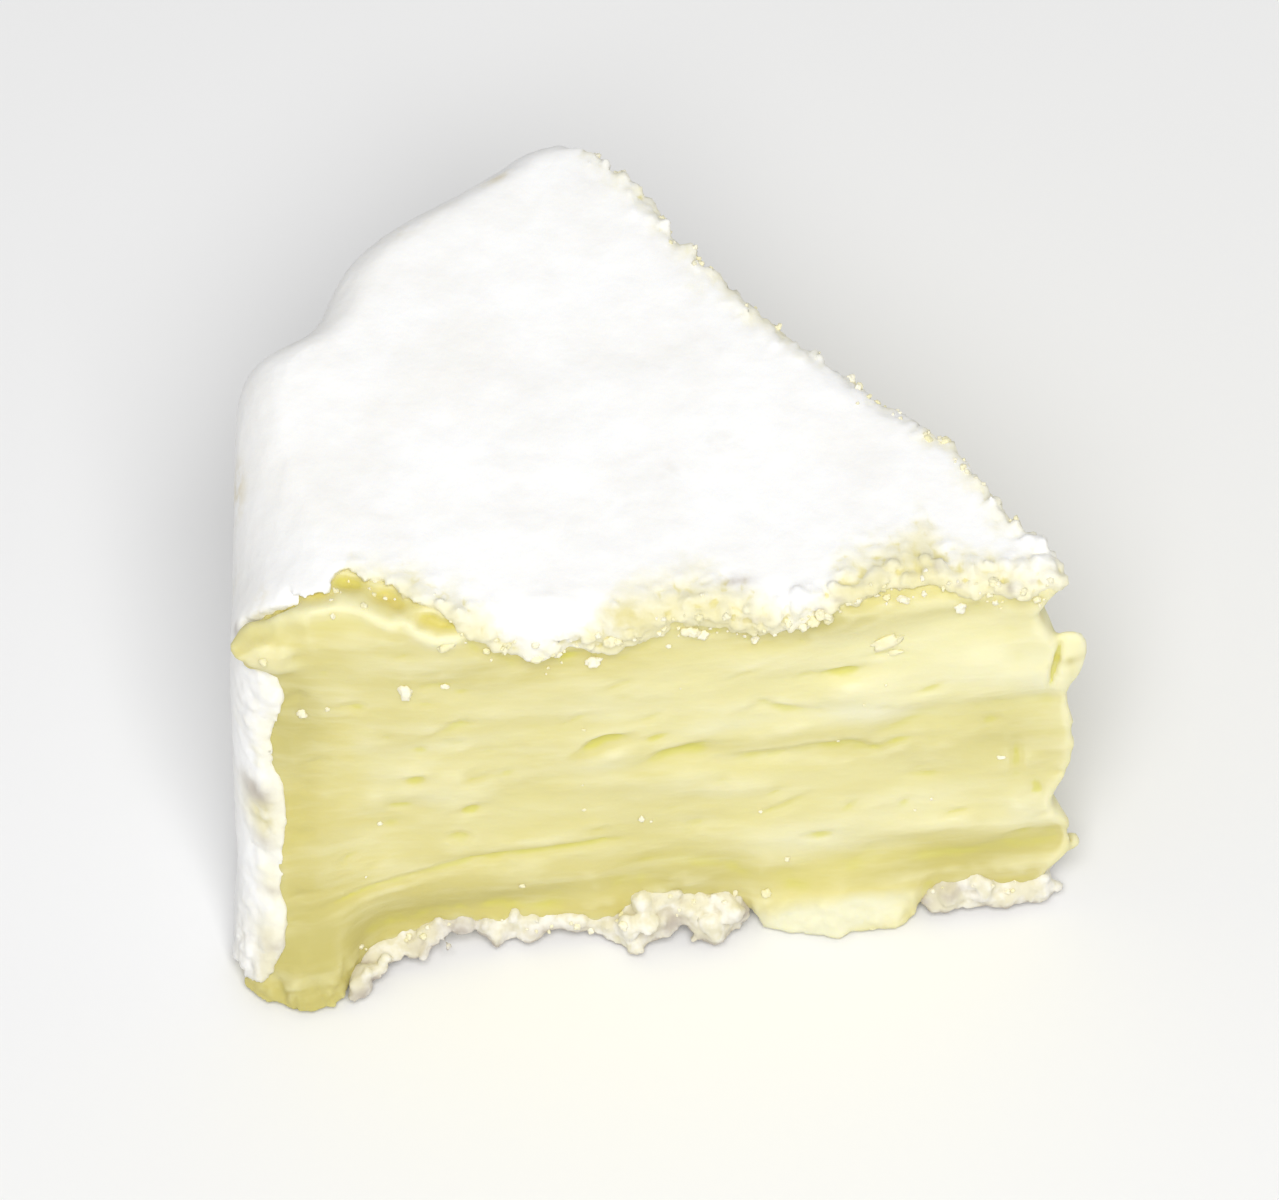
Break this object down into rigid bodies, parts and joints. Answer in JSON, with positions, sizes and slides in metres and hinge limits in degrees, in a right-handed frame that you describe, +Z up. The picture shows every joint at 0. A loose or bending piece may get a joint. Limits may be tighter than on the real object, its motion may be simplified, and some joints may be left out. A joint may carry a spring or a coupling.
{
  "type": "camembert cheese wedge",
  "caption": "Loose wedge cut from a small round soft cheese, with a white bloomy rind and pale creamy paste showing at its cut faces.",
  "frame": {"origin": "centre of the flat base, under the middle of the bounding box", "axes": "+Z up through the upper rind; +X towards the tip, the wheel's centre; the near cut face looks towards -Y"},
  "size_m": [0.0548, 0.0474, 0.0341],
  "materials": {
    "cheese": "pale creamy paste under a matt white bloomy rind"
  },
  "bodies": {
    "root": {"camembert_wedge": "cheese"}
  },
  "joints": []
}
